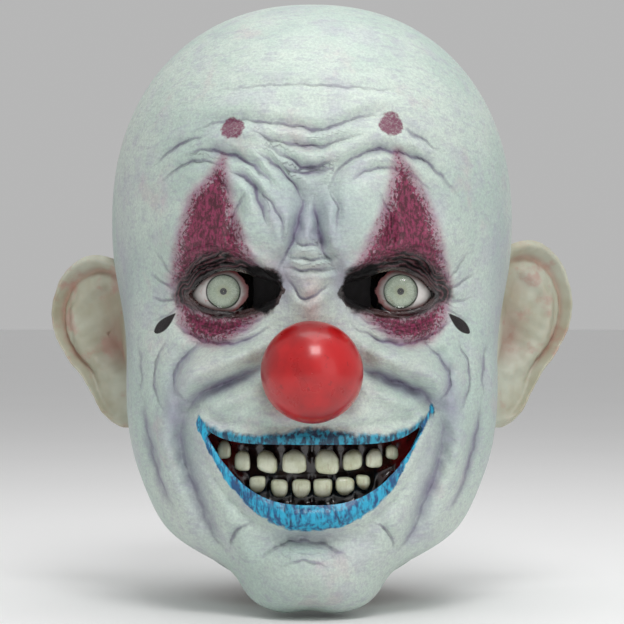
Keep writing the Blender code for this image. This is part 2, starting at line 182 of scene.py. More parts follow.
# Ridges: height, half-width, then x, z of each point (mm). All are mirrored.
RIDGES = (
    (5.0, 4.2, 13, 165, 20, 163.5, 31, 169, 44, 174, 58, 172, 66, 165),
    (4.6, 5.0, 24, 127, 36, 124, 49, 120, 60, 112, 67, 99, 68, 82, 62, 66),
    (3.2, 4.5, 17, 109, 30, 106, 43, 101, 52, 97),
    (1.6, 2.6, 27, 142, 42, 139, 57, 141),
    (1.4, 2.2, 26, 136, 42, 134, 58, 138),
    (3.0, 5.0, 76, 112, 77, 94, 72, 76, 66, 60),
    (2.2, 4.0, 38, 178, 42, 186, 38, 196),
    (2.2, 3.4, 52, 182, 60, 180, 70, 172),
    (2.0, 4.5, 26, 34, 34, 26, 36, 14),
    (1.8, 3.5, 14, 226, 30, 229, 46, 225, 58, 217),
    (1.6, 3.8, 14, 242, 34, 244, 54, 238),
)

# Folds: depth, half-width, then x, z of each point (mm). The paired ones are mirrored.
PAIRED = (
    (4.6, 2.3, 22, 119.5, 32, 115.5, 43, 111, 52, 107, 57.5, 100),
    (3.8, 3.2, 60, 99, 62, 86, 59, 70, 53, 55, 48, 42, 42, 30),
    (2.6, 2.2, 49, 133, 58, 126, 64, 118, 65, 110, 60, 103),
    (2.4, 2.6, 81, 104, 79, 88, 76, 76, 72, 62, 66, 50),
    (1.6, 1.5, 20, 144, 30, 139, 42, 137, 54, 140, 62, 146),
    (1.9, 1.8, 19, 139, 30, 132.5, 43, 130, 56, 134, 66, 141),
    (2.4, 1.6, 18, 160, 26, 166, 38, 169.5, 50, 167, 60, 158),
    (0.7, 1.1, 62, 152, 68, 150.5, 76, 152),
    (0.7, 1.1, 62, 155, 69, 158, 77, 163),
    (0.7, 1.1, 62, 149, 68, 144, 75, 141),
    (0.5, 1.2, 64, 160, 69, 166, 74, 174),
    (1.4, 0.9, 62, 155, 56, 163, 46, 168, 36, 168, 28, 164),
    (2.0, 1.2, 66, 157, 58, 168, 46, 173, 34, 171, 24, 165),
    (1.5, 1.7, 31, 200, 36, 190, 37, 180, 34, 172),
    (1.2, 0.9, 24, 142, 34, 139.5, 46, 139.5, 58, 143),
    (1.2, 0.9, 26, 138.5, 36, 135.5, 48, 136, 60, 141),
    (1.6, 1.6, 40, 173, 48, 176, 58, 173, 66, 166),
    (1.2, 2.2, 84, 130, 82, 118, 82, 106),
    (1.3, 1.8, 70, 130, 74, 121, 75, 110, 71, 100),
    (1.5, 1.8, 30, 46, 36, 42, 40, 34),
)
SINGLE = (
    (1.5, 1.8, -55, 231, -37, 235, -10, 232, 4, 230, 22, 236, 32, 238),
    (1.4, 1.7, -74, 216, -63, 224, -50, 228),
    (1.7, 1.7, -28, 230, -18, 225, -7, 223, 4, 222, 12, 225, 22, 228),
    (1.3, 1.7, 43, 232, 50, 227, 61, 221),
    (1.8, 1.6, -23, 224, -13, 218, -5, 213, 4, 213, 10, 216),
    (1.6, 1.5, -16, 214, -7, 210, 2, 210, 13, 213),
    (1.5, 1.6, -70, 208, -61, 214, -52, 216, -42, 214),
    (2.0, 1.7, -59, 220, -49, 221, -40, 219, -30, 215, -24, 210, -18, 203),
    (1.8, 1.5, -25, 220, -17, 213, -8, 204, -4, 196),
    (2.0, 1.7, -37, 210, -29, 206, -24, 196, -21, 186),
    (2.0, 1.7, 8, 203, 13, 212, 22, 218, 32, 221, 42, 219, 53, 216, 60, 210, 68, 201),
    (2.8, 1.8, -4, 199, -6, 188, -10, 176, -15, 166),
    (2.8, 1.8, 1, 197, 2.5, 186, 5, 175, 11, 165),
    (1.0, 1.2, -30, 204, -20, 197, -14, 186, -13, 178),
    (1.0, 1.2, 9, 200, 12, 192, 11, 182),
    (1.3, 1.6, 18, 206, 26, 211, 37, 212, 48, 208, 57, 201),
    (1.2, 1.5, -50, 208, -43, 206, -38, 199),
    (1.4, 1.1, -12, 171, -4, 169.5, 4, 169.5, 12, 171),
    (1.5, 1.1, -12, 166, -4, 164.5, 4, 164.5, 12, 166),
    (1.5, 1.2, -11, 161, -3, 151, 8, 158),
    (1.0, 1.1, -9, 178, -2, 176, 8, 177),
    (2.4, 2.2, -26, 30, -16, 35, -5, 37.5, 8, 35, 18, 30),
    (0.9, 1.8, -15, 27, -4, 29, 8, 27),
    (0.6, 1.6, -44, 250, -14, 252, 16, 251, 44, 249),
)


def half_mouth(x):
    return np.where(np.asarray(x) < 0, -MOUTH[0], MOUTH[1])


def upper_edge(x):
    rise = np.where(np.asarray(x) < 0, 0.0095, 0.0150)
    return 0.0835 + rise * (np.abs(x) / half_mouth(x)) ** 6


def lower_edge(x):
    rise = np.where(np.asarray(x) < 0, 0.0380, 0.0435)
    return 0.0550 + rise * (np.abs(x) / half_mouth(x)) ** 2.8


def lip_distances(x, z):
    """How far (mm) a point is above the mouth's upper edge, and below its lower edge."""
    xx = np.clip(x, *MOUTH)
    return (z - upper_edge(xx)) * MM, (lower_edge(xx) - z) * MM


def lip_cracks(x, z):
    """Near zero in the lower lip's cracks."""
    return np.abs(np.sin(x * 800 + 2.0 * np.sin(x * 260) + 0.5 * np.sin(z * 500)))


def bite(x):
    share = np.maximum(0.06, 0.5 * (1 - (x / 0.050) ** 2))
    return lower_edge(x) + share * (upper_edge(x) - lower_edge(x))


EYE_TOP = curve([(14.5, 154.8), (16, 158), (25, 160.8), (33, 163.6), (42, 164.2), (52, 160), (58.5, 153)])
EYE_LOW = curve([(14.5, 154.8), (16.5, 151.5), (24, 148.2), (33, 145.8), (43, 145.2), (53, 148), (58.5, 153)])


def mouth_gap(x, z):
    """Above zero outside the mouth, as a rough distance."""
    xx = np.clip(x, *MOUTH)
    g = np.maximum(z - upper_edge(xx), lower_edge(xx) - z)
    return np.where(np.abs(x) < half_mouth(x), g, np.maximum(g, 0) + np.abs(x - xx))


def eye_gap(x, z):
    """Above zero outside the eyes' openings, as a rough distance."""
    x = np.abs(x)
    xx = np.clip(x, *EYE_CORNERS)
    top, low = (np.interp(xx, *edge.T) for edge in (EYE_TOP, EYE_LOW))
    g = np.maximum(z - top, low - z)
    within = (x > EYE_CORNERS[0]) & (x < EYE_CORNERS[1])
    return np.where(within, g, np.hypot(np.maximum(g, 0), x - xx))


def taper(share, power):
    """Thins a line towards its two ends."""
    return clamp(np.sin(pi * np.clip(share, 0.02, 0.98))) ** power


def relief(points, fine=True):
    """(points with the face's relief, fold depth that sets the painted shade in the folds, signed mm to the
    nearest fold, that fold's weight).
    """
    x, y, z = points.T.copy()
    push = np.zeros(len(x))
    for cx, cz, rx, rz, lean, height in BULGES:
        lean, dx, dz = radians(lean), x * MM - cx, z * MM - cz
        u = dx * cos(lean) - dz * sin(lean)
        v = dx * sin(lean) + dz * cos(lean)
        push += height * np.exp(-(((u / rx) ** 2 + (v / rz) ** 2) ** 1.7))
    for cx, cz, rx, rz, height in BROAD:
        for side in (1, -1) if cx else (1,):
            push += height * bell(x * MM - side * cx, rx) * bell(z * MM - cz, rz)
    face = y < -0.005
    fx, fz = x[face], z[face]
    folds = [(depth, width, line) for depth, width, *line in SINGLE]
    for depth, width, *line in PAIRED:
        folds += [(depth, width, line), (depth * 1.06, width * 1.08, mirror(line))]
    total, deep, line_at, weight = np.zeros((4, len(fx)))
    if fine:
        wobble = 0.5 * np.sin(fx * 610 + 1.3) * np.sin(fz * 530 + fx * 210) / MM
        for depth, width, line in folds:
            line = curve(line)
            low, high = line.min(axis=0) - 0.012, line.max(axis=0) + 0.012
            near = (fx > low[0]) & (fx < high[0]) & (fz > low[1]) & (fz < high[1])
            d, t, bank = along(fx[near] + wobble[near], fz[near] + wobble[near], line)
            ends = taper(t, 0.55)
            strength = min(1.0, 0.35 + depth / 3.2) * min(1.0, 1.9 / width) ** 1.6
            heavy = ends * strength * bell(d * MM, 2.6)
            line_at[near] = np.where(heavy > weight[near], d * bank * MM, line_at[near])
            weight[near] = np.maximum(weight[near], heavy)
            w = 1.22 * width / MM
            cut = np.exp(-((d / w) ** 1.5)) * ends
            lips = bell(d - 2.4 * w, 1.4 * w) * ends
            total[near] += 1.45 * depth * (0.5 * lips - cut)
            deep[near] = np.maximum(deep[near], cut * min(depth, 2.4) / 2.4)
    for height, width, *line in RIDGES:
        for points_of in (line, mirror(line)):
            d, t, _ = along(fx, fz, curve(points_of, 4))
            total += height * taper(t, 0.7) * bell(d * MM, width)
    # Lips: a rolled band along each edge of the mouth.
    up, low = lip_distances(fx, fz)
    span = clamp(1 - (np.abs(fx) / 0.060) ** 4)
    total += span * 3.0 * bell(up - 2.2, 3.0)
    total += span * 4.2 * bell(low - 5.0, 5.2)
    total -= span * 2.2 * bell(up - 8.5, 2.2)
    total -= span * 2.4 * bell(low - 14.5, 2.6)
    if fine:
        inside_low = np.exp(-(((low - 5.5) / 5.0) ** 4)) * span
        cracks = lip_cracks(fx, fz)
        total -= 0.9 * inside_low * (cracks < 0.28) * (1 - cracks / 0.28)
    push[face] += total
    crease_shade, signed, heavy = np.zeros((3, len(x)))
    crease_shade[face], signed[face], heavy[face] = deep, line_at, weight
    fade = clamp((-0.015 - y) / 0.030)
    fade = fade * fade * (3 - 2 * fade)
    y = y - push / MM * fade
    lid = EYE_R + WALL + 0.0004
    for side in (1, -1):
        away = (x - side * EYE[0]) ** 2 + (z - EYE[2]) ** 2
        ball = EYE[1] - np.sqrt(np.clip(lid**2 - away, 0, None))
        ball = np.where(away < lid**2, ball, 0.0)
        y = np.where(fade > 0, smooth_min(ball, y, 0.002), y)
    # The lids' rims stand a little proud round the opening.
    y = y - 0.0009 * bell(eye_gap(x, z) * MM - 1.2, 1.3) * fade
    # The chin is pinched in at the jaw and has a shallow cleft below.
    near = clamp((0.01 - y) / 0.03)
    x = x * (1 - 0.14 * near * bell(z - 0.020, 0.012))
    z = z + 0.0026 * near * bell(x + 0.001, 0.009) * bell(z, 0.010)
    return np.stack((x, y, z), axis=1), crease_shade * fade, signed, heavy * fade


def front(x, z):
    """The y of the broad face at each (x, z)."""
    x, z = np.broadcast_arrays(np.atleast_1d(x).astype(float), np.asarray(z, float))
    start = np.stack((x, np.full_like(x, -0.02), z), axis=1)
    points = cast(start, np.tile((0.0, -1.0, 0.0), (len(x), 1)), 0.14)
    return relief(points, fine=False)[0][:, 1]


# ---- materials


def colour(r, g, b):
    """Linear colour from everyday 0-255 values."""
    linear = (((v / 255 + 0.055) / 1.055) ** 2.4 if v > 10 else v / 3295 for v in (r, g, b))
    return (*linear, 1.0)


class Nodes:
    """A short way to write a node tree."""

    def __init__(self, name):
        self.material = bpy.data.materials.new(name)
        self.material.use_nodes = True
        self.tree = self.material.node_tree
        self.shader = self.tree.nodes["Principled BSDF"]
        self.coords = self.node("TexCoord").outputs["Object"]

    def node(self, kind, **settings):
        made = self.tree.nodes.new("ShaderNode" + kind)
        for key, value in settings.items():
            setattr(made, key, value)
        return made

    def join(self, value, socket):
        if hasattr(value, "is_output"):
            self.tree.links.new(value, socket)
        else:
            socket.default_value = value

    def attribute(self, name):
        return self.node("Attribute", attribute_name=name).outputs["Fac"]

    def noise(self, scale, detail=4.0, rough=0.6, stretch=None):
        made = self.node("TexNoise")
        vector = self.coords
        if stretch:
            mapping = self.node("Mapping")
            mapping.inputs["Scale"].default_value = stretch
            self.join(vector, mapping.inputs["Vector"])
            vector = mapping.outputs["Vector"]
        self.join(vector, made.inputs["Vector"])
        for key, value in (("Scale", scale), ("Detail", detail), ("Roughness", rough)):
            made.inputs[key].default_value = value
        return made.outputs["Fac"]

    def cells(self, scale, feature="DISTANCE_TO_EDGE"):
        made = self.node("TexVoronoi", feature=feature)
        self.join(self.coords, made.inputs["Vector"])
        made.inputs["Scale"].default_value = scale
        return made.outputs["Distance"]

    def ramp(self, value, low, high, to_low=0.0, to_high=1.0):
        made = self.node("MapRange", interpolation_type="SMOOTHSTEP")
        for socket, amount in zip(made.inputs[:5], (value, low, high, to_low, to_high)):
            self.join(amount, socket)
        return made.outputs["Result"]

    def math(self, operation, a, b=0.0):
        made = self.node("Math", operation=operation)
        self.join(a, made.inputs[0])
        self.join(b, made.inputs[1])
        return made.outputs[0]

    def vary(self, scale, low, high, detail=4.0):
        """A value that wanders between two numbers over the surface."""
        return self.ramp(self.noise(scale, detail), 0.3, 0.7, low, high)

    def times(self, a, b):
        return self.math("MULTIPLY", a, b)

    def plus(self, a, b):
        return self.math("ADD", a, b)

    def mix(self, share, a, b):
        """A mix of two colours, each a socket, a linear RGBA or an everyday (r, g, b)."""
        made = self.node("Mix", data_type="RGBA")
        self.join(share, made.inputs["Factor"])
        for value, socket in ((a, made.inputs[6]), (b, made.inputs[7])):
            everyday = isinstance(value, tuple) and len(value) == 3
            self.join(colour(*value) if everyday else value, socket)
        return made.outputs[2]

    def paint(self, share, over):
        self.base = self.mix(share, self.base, over)

    def layer(self, value, low, high, over, most=1.0):
        """Paints over the base colour where the value passes from low to high."""
        self.paint(self.ramp(value, low, high, 0.0, most), over)

    def bump(self, height, strength, distance, normal=None):
        made = self.node("Bump")
        self.join(height, made.inputs["Height"])
        made.inputs["Strength"].default_value = strength
        made.inputs["Distance"].default_value = distance
        if normal is not None:
            self.join(normal, made.inputs["Normal"])
        return made.outputs["Normal"]

    def finish(self, roughness, normal=None, coat=(), subsurface=(), **more):
        """coat is (weight, roughness), subsurface is (weight, radii, scale)."""
        sockets = {"Base Color": self.base, "Roughness": roughness}
        if normal is not None:
            sockets["Normal"] = normal
        sockets.update(zip(("Coat Weight", "Coat Roughness"), coat))
        sockets.update(zip(("Subsurface Weight", "Subsurface Radius", "Subsurface Scale"), subsurface))
        sockets.update((key.replace("_", " "), value) for key, value in more.items())
        for key, value in sockets.items():
            self.join(value, self.shader.inputs[key])
        return self.material


def skin_material():
    n = Nodes("painted_latex")
    wide, mid, fine, tiny = n.noise(14), n.noise(60), n.noise(420, 3), n.noise(760, 4, 0.75)
    n.base = n.mix(n.ramp(wide, 0.38, 0.62), (189, 208, 197), (208, 221, 210))
    n.layer(mid, 0.50, 0.68, (188, 186, 198), 0.40)
    n.layer(n.noise(38, 5), 0.56, 0.70, (206, 172, 184), 0.30)
    n.layer(n.attribute("pink"), 0.0, 1.0, (210, 150, 162), 0.75)
    # Painted shade: the soft tint is lilac laid in the recesses and folds and on the sides of the head.
    n.layer(n.attribute("soft"), 0.0, 1.0, (142, 134, 168), 0.60)
    # Painted shade: a lavender darkening laid into the folds, stronger where they cut deeper.
    crease_shade = n.times(n.attribute("crease_shade"), n.ramp(mid, 0.30, 0.60, 0.55, 1.0))
    n.layer(crease_shade, 0.10, 0.90, (112, 104, 136), 0.60)
    stains = n.noise(230, 5, 0.7, (0.5, 1.0, 1.6))
    n.layer(stains, 0.48, 0.66, (160, 154, 178), 0.34)
    n.layer(tiny, 0.62, 0.40, (126, 136, 146), 0.26)
    # Painted shade: thin dark lavender lines along the bottoms of the folds.
    wig = n.vary(170, -0.35, 0.35, 3)
    off = n.math("ABSOLUTE", n.plus(n.attribute("line"), wig))
    thin = n.times(n.attribute("line_w"), n.ramp(off, 1.10, 0.05))
    n.paint(n.times(thin, n.ramp(mid, 0.3, 0.6, 0.45, 0.80)), (100, 88, 118))
    wander = n.vary(160, -0.9, 0.9, 4)

    def painted(name, edge, soft=1.2):
        value = n.plus(n.attribute(name), wander)
        return n.ramp(value, edge + soft, edge - soft)

    streaks = n.noise(540, 4, 0.7, (1.5, 1.0, 0.7))
    magenta = n.mix(n.ramp(streaks, 0.42, 0.62), (74, 6, 32), (142, 44, 84))
    grain = n.noise(620, 3, 0.7)
    depth = n.attribute("d_magenta")
    heart = n.ramp(depth, 0.5, -7.5, -0.13, 0.20)
    cover = n.plus(n.plus(grain, heart), n.times(mid, 0.16))
    cover = n.ramp(cover, 0.42, 0.62, 0.30, 0.97)
    n.layer(depth, 5.0, -1.0, (168, 108, 142), 0.55)
    n.paint(n.times(painted("d_magenta", 1.0, 1.8), cover), magenta)
    # The lid paint is dark brown-black; the lighter pink on the raised crests of its ring wrinkles is a
    # painted highlight.
    turns = n.times(n.attribute("d_eye"), 2.7)
    wave = n.math("SINE", n.plus(turns, n.vary(80, -3.0, 3.0, 3)))
    lids = n.times(painted("d_dark", 0.0, 2.2), n.ramp(n.noise(260, 3), 0.25, 0.45, 0.75, 1.0))
    n.paint(lids, n.mix(n.ramp(wave, -0.1, 1.0), (15, 8, 10), (92, 56, 62)))
    bare = n.mix(n.ramp(mid, 0.35, 0.65), (182, 168, 134), (202, 190, 154))
    n.paint(n.attribute("inside"), bare)
    black = (20, 10, 12)
    dots = n.times(painted("d_dots", 0.0, 0.7), n.ramp(tiny, 0.35, 0.55, 0.6, 0.95))
    n.paint(dots, (112, 40, 74))
    strokes = n.noise(440, 4, 0.6, (1.0, 1.0, 0.26))
    teal = n.mix(n.ramp(strokes, 0.42, 0.62), (6, 54, 80), (34, 154, 184))
    n.paint(painted("d_upper_lip", -0.4, 1.6), teal)
    cyan = n.mix(n.ramp(strokes, 0.38, 0.60), (0, 76, 126), (26, 172, 210))
    # Painted shade: the lower lip is darker blue down in its cracks.
    cyan = n.mix(n.ramp(n.attribute("cracks"), 0.2, 0.9, 0, 0.85), cyan, (8, 44, 84))
    n.paint(painted("d_lower_lip", 0.0, 0.8), cyan)
    liner = painted("d_liner", 0.0, 0.5)
    n.paint(liner, n.mix(n.ramp(mid, 0.4, 0.6), black, (56, 20, 20)))
    n.layer(n.attribute("d_tears"), 0.35, -0.25, black)
    black_corner = painted("d_corner", 0.0, 1.4)
    n.paint(black_corner, (5, 4, 5))
    gloss = n.math("MAXIMUM", liner, n.times(lids, 0.45))
    for name, amount in (("d_lower_lip", 0.42), ("d_upper_lip", 0.40)):
        gloss = n.math("MAXIMUM", gloss, n.times(painted(name, 0.0, 1.0), amount))
    gloss = n.times(gloss, n.ramp(black_corner, 0.0, 1.0, 1.0, 0.35))
    rough = n.ramp(gloss, 0.0, 1.0, 0.50, 0.20)
    rough = n.plus(rough, n.ramp(fine, 0.3, 0.7, -0.06, 0.06))
    lines = n.noise(130, 5, 0.65, (0.40, 1.0, 2.8))
    normal = n.bump(lines, 0.55, 0.0011)
    normal = n.bump(n.cells(520), 0.22, 0.0005, normal)
    normal = n.bump(n.plus(fine, tiny), 0.40, 0.0005, normal)
    normal = n.bump(n.math("SUBTRACT", 1.0, thin), 0.85, 0.0012, normal)
    normal = n.bump(n.times(wave, lids), 0.6, 0.0006, normal)
    return n.finish(
        rough, normal,
        subsurface=(0.10, (0.006, 0.004, 0.004), 0.5), coat=(n.ramp(gloss, 0, 1, 0.06, 0.6), 0.16),
        Specular_IOR_Level=n.ramp(black_corner, 0, 1, 0.5, 0.12),
    )


def ear_material():
    n = Nodes("bare_latex")
    wide, mid = n.noise(22), n.noise(75, 5)
    n.base = n.mix(n.ramp(wide, 0.36, 0.64), (164, 160, 138), (186, 188, 172))
    n.layer(mid, 0.50, 0.66, (176, 128, 120), 0.55)
    # Painted shade: browner in the ear's bowl and grooves.
    n.layer(n.attribute("crease_shade"), 0.1, 0.9, (150, 112, 96), 0.6)
    n.paint(n.attribute("root"), (190, 204, 194))
    normal = n.bump(n.noise(180, 4), 0.25, 0.0008)
    normal = n.bump(n.cells(520), 0.12, 0.0005, normal)
    return n.finish(
        n.ramp(mid, 0.3, 0.7, 0.42, 0.56), normal,
        subsurface=(0.18, (0.008, 0.004, 0.003), 0.6), coat=(0.08, 0.3),
    )


def nose_material():
    n = Nodes("red_gloss")
    n.base = n.mix(n.ramp(n.noise(30, 4), 0.35, 0.65), (150, 6, 12), (190, 14, 20))
    n.layer(n.noise(260, 3), 0.62, 0.72, (96, 4, 8), 0.35)
    normal = n.bump(n.noise(46, 2), 0.22, 0.0012)
    normal = n.bump(n.noise(380, 2), 0.06, 0.0004, normal)
    return n.finish(n.vary(90, 0.26, 0.40), normal, coat=(0.35, 0.14))


def gum_material():
    n = Nodes("wet_gum")
    red = n.times(n.attribute("red"), n.ramp(n.noise(120, 4), 0.35, 0.6))
    n.base = n.mix(n.ramp(n.noise(70), 0.4, 0.65), (18, 10, 11), (40, 16, 18))
    n.paint(red, (150, 22, 30))
    normal = n.bump(n.noise(150, 3), 0.5, 0.0012)
    return n.finish(0.22, normal, coat=(0.7, 0.12))


def tooth_material():
    n = Nodes("ivory_tooth")
    n.base = n.mix(n.ramp(n.noise(130, 4), 0.35, 0.65), (200, 204, 172), (224, 228, 204))
    # Darker brown towards the root end and the sides of each tooth.
    n.layer(n.attribute("root"), 0.35, 1.0, (74, 58, 36), 0.8)
    n.layer(n.noise(600, 3, 0.6, (1, 1, 0.2)), 0.56, 0.72, (150, 118, 74), 0.30)
    normal = n.bump(n.noise(420, 3, 0.6, (1, 1, 0.25)), 0.2, 0.0005)
    return n.finish(
        n.vary(300, 0.22, 0.36), normal,
        subsurface=(0.12, (0.004, 0.003, 0.002), 0.4), coat=(0.4, 0.12),
    )


def sclera_material():
    n = Nodes("eye_white")
    n.base = n.mix(n.ramp(n.noise(120, 3), 0.4, 0.65), (216, 212, 208), (198, 196, 192))
    veins = n.times(n.ramp(n.cells(150), 0.045, 0.0), n.ramp(n.noise(110, 3), 0.50, 0.62))
    n.paint(n.times(veins, 0.5), (186, 70, 66))
    n.layer(n.attribute("shade"), 0.0, 1.0, (128, 66, 66), 0.85)
    near = n.plus(n.attribute("d_dark"), n.vary(300, -0.5, 0.5, 3))
    n.layer(near, -3.5, -0.5, (178, 88, 92), 0.75)
    n.layer(near, -0.5, 0.3, (10, 8, 9))
    return n.finish(
        n.vary(200, 0.10, 0.2), n.bump(n.noise(160), 0.05, 0.0005),
        coat=(0.8, 0.05),
    )


def iris_material():
    n = Nodes("iris")
    split = n.node("SeparateXYZ")
    n.join(n.coords, split.inputs[0])
    x, z = split.outputs["X"], split.outputs["Z"]
    radius = n.math("SQRT", n.plus(n.times(x, x), n.times(z, z)))
    angle = n.math("ARCTAN2", z, x)
    wave = n.node("TexNoise", noise_dimensions="2D")
    vector = n.node("CombineXYZ")
    n.join(n.times(angle, 7.0), vector.inputs[0])
    n.join(n.times(radius, 260.0), vector.inputs[1])
    n.join(vector.outputs[0], wave.inputs["Vector"])
    wave.inputs["Scale"].default_value = 2.2
    wave.inputs["Detail"].default_value = 4
    streaks = wave.outputs["Fac"]
    n.base = n.mix(n.ramp(streaks, 0.30, 0.72), (190, 210, 180), (218, 232, 206))
    n.layer(radius, 0.0040, 0.0015, (204, 212, 168), 0.55)
    edge = n.plus(radius, n.times(streaks, 0.0006))
    n.layer(edge, 0.0052, 0.0074, (96, 118, 96), 0.45)
    n.layer(edge, 0.0070, 0.0079, (16, 22, 20))
    n.layer(radius, 0.0017, 0.0013, (4, 4, 5))
    return n.finish(n.ramp(streaks, 0.3, 0.7, 0.2, 0.32), n.bump(streaks, 0.2, 0.0003))


def cornea_material():
    n = Nodes("clear_cornea")
    n.base = n.mix(n.ramp(n.noise(60), 0.3, 0.7), (0.97, 0.99, 0.99, 1), (1, 1, 1, 1))
    return n.finish(
        n.vary(150, 0.02, 0.05), n.bump(n.noise(80), 0.02, 0.0003),
        coat=(1.0, 0.04), Transmission_Weight=1.0, IOR=1.42,
    )


def gauze_material():
    n = Nodes("black_gauze")
    split = n.node("SeparateXYZ")
    n.join(n.coords, split.inputs[0])
    waves = [n.math("SINE", n.times(split.outputs[k], 7000.0)) for k in ("X", "Z")]
    weave = n.times(*waves)
    n.base = n.mix(n.ramp(weave, -0.2, 0.6), (6, 5, 6), (34, 30, 32))
    return n.finish(n.vary(300, 0.75, 0.9), n.bump(weave, 0.5, 0.0003))


def foam_material():
    n = Nodes("grey_foam")
    pores = n.cells(420, "F1")
    n.base = n.mix(n.ramp(pores, 0.2, 0.6), (44, 44, 47), (86, 86, 90))
    n.layer(n.noise(50), 0.4, 0.65, (60, 58, 58), 0.4)
    return n.finish(0.93, n.bump(pores, 0.8, 0.0010), Sheen_Weight=0.25)


# ---- mesh helpers


def set_values(mesh, key, values):
    mesh.attributes.new(key, "FLOAT", "POINT").data.foreach_set("value", np.asarray(values, np.float32))


def points_of(x, y, z):
    return np.stack((x, y, z), axis=-1).reshape(-1, 3)


def circle(steps):
    return np.linspace(0, 2 * pi, steps, endpoint=False)


def on_sphere(angle, spin):
    """Directions at an angle from -Y, spun about it."""
    return points_of(np.sin(angle) * np.cos(spin), -np.cos(angle), np.sin(angle) * np.sin(spin))


def make(name, vertices, faces, material, origin=None, smooth=True, sharp=None, attributes=None, uv=None):
    vertices = np.asarray(vertices, float)
    if origin is not None:
        vertices = vertices - np.array(origin)
    mesh = bpy.data.meshes.new(name)
    mesh.from_pydata(vertices.tolist(), [], [tuple(f) for f in faces])
    mesh.validate()
    for key, values in (attributes or {}).items():
        set_values(mesh, key, values)
    if uv is not None:
        layer = mesh.uv_layers.new(name="OFBake")
        loops = np.empty(len(mesh.loops), np.int32)
        mesh.loops.foreach_get("vertex_index", loops)
        layer.data.foreach_set("uv", np.asarray(uv, np.float32)[loops].ravel())
    if smooth:
        mesh.shade_smooth()
    if sharp:
        mesh.set_sharp_from_angle(angle=radians(sharp))
    mesh.materials.append(material)
    made = bpy.data.objects.new(name, mesh)
    if origin is not None:
        made.location = origin
    link(made)
    return made


def quads(rows, columns, wrap=False):
    i, j = np.meshgrid(np.arange(rows - 1), np.arange(columns if wrap else columns - 1), indexing="ij")
    a = i * columns + j
    b = i * columns + (j + 1) % columns
    return np.stack((a, b, b + columns, a + columns), axis=-1).reshape(-1, 4)


def plate_faces(rows, columns):
    """Faces of a closed plate between two grids of points, the second numbered on from the first."""
    cells, shift = quads(rows, columns), rows * columns
    loop = list(range(columns)) + [r * columns + columns - 1 for r in range(1, rows)]
    loop += [(rows - 1) * columns + c for c in range(columns - 2, -1, -1)]
    loop += [r * columns for r in range(rows - 2, 0, -1)]
    faces = [tuple(c) for c in cells] + [tuple(c[::-1] + shift) for c in cells]
    return faces + [(b, a, a + shift, b + shift) for a, b in zip(loop, loop[1:] + loop[:1])]


def cup_faces(rows, steps, joined):
    """Faces of a round shell between two grids of rings, joined along the rows listed."""
    cells, shift = quads(rows, steps, wrap=True), rows * steps
    faces = [tuple(c[::-1]) for c in cells] + [tuple(c + shift) for c in cells]
    for row in joined:
        for j in range(steps):
            p, q = row * steps + j, row * steps + (j + 1) % steps
            faces.append((p, q, q + shift, p + shift) if row == 0 else (q, p, p + shift, q + shift))
    return faces


def piece(obj, node):
    """A piece on the mask's own body that stands for one CAD node."""
    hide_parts(node)
    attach(obj, "mask")


# ---- the skin

around, rings = (720, 250) if FINE else (400, 150)
polar = pi * (np.arange(1, rings + 1) / (rings + 0.5)) ** 1.25
polar, turn = np.meshgrid(polar, circle(around), indexing="ij")
directions = on_sphere(polar, turn)
plain_head = cast(CENTRE, directions)
outer, crease_shade, line_at, line_weight = relief(plain_head)
smooth_outer = relief(plain_head, fine=False)[0]
grid = smooth_outer.reshape(rings, around, 3)
down = np.gradient(grid, axis=0)
across = (np.roll(grid, -1, axis=1) - np.roll(grid, 1, axis=1)) / 2
normal = np.cross(across, down)
normal /= np.linalg.norm(normal, axis=-1, keepdims=True) + 1e-12
outward = (normal * directions.reshape(grid.shape)).sum(-1, keepdims=True)
normal = (normal * np.sign(outward.sum())).reshape(-1, 3)

hinge = next(j for j in frame["record"]["behaviour"]["joints"] if "left" in j["name"])
axis = np.array(hinge["axis"]) / np.linalg.norm(hinge["axis"])
axis *= np.sign(axis[2])
back = np.array((0.0, axis[2], -axis[1]))
hinge_point = np.array(hinge["pos_m"]) * (0, 1, 1)


def keep_value(points):
    """Above zero where the latex is kept, whatever the flap."""
    x, y, z = points.T
    ahead = y < -0.02
    g = (points - RIM_POINT) @ RIM_UP
    g = np.minimum(g, np.where(ahead, np.minimum(mouth_gap(x, z), eye_gap(x, z)), 1))
    g = np.minimum(g, np.linalg.norm(points - NOSE, axis=1) - (NOSE_R - 0.0016))
    return g


def flap_value(points):
    """Above zero inside the nape's cut-out."""
    rel = points - hinge_point
    g = np.minimum(EDGE - np.abs(points[:, 0]), -(rel @ axis))
    return np.minimum(g, rel @ back + FLAP_REACH)


def cut_sheet(values, points):
    """The skin where values > 0: (points, with the border's moved onto zero; faces)."""
    inside = (values > 0).reshape(rings, around)
    value = values.reshape(rings, around)
    total = np.zeros((rings, around, 3))
    count = np.zeros((rings, around))
    pos = points.reshape(rings, around, 3)
    for shift, ax in ((1, 0), (-1, 0), (1, 1), (-1, 1)):
        near_in, near_value, near_pos = (
            np.roll(a, shift, axis=ax) for a in (inside, value, pos)
        )
        if ax == 0:
            near_in = near_in.copy()
            near_in[0 if shift == 1 else -1] = False
        border = ~inside & near_in
        share = (near_value / (near_value - value + 1e-12)).clip(0, 1)
        crossing = near_pos + (pos - near_pos) * share[..., None]
        total += np.where(border[..., None], crossing, 0)
        count += border
    snapped = (count > 0) & ~inside
    moved = np.where(snapped[..., None], total / np.maximum(count, 1)[..., None], pos).reshape(-1, 3)
    available = (inside | snapped).ravel()
    cells = quads(rings, around, wrap=True)
    have = available[cells]
    some_in = inside.ravel()[cells].any(axis=1)
    corners = (have.sum(axis=1) == 3) & some_in
    faces = [tuple(c) for c in cells[have.all(axis=1) & some_in]]
    faces += [tuple(cell[mask]) for cell, mask in zip(cells[corners], have[corners])]
    return moved, faces


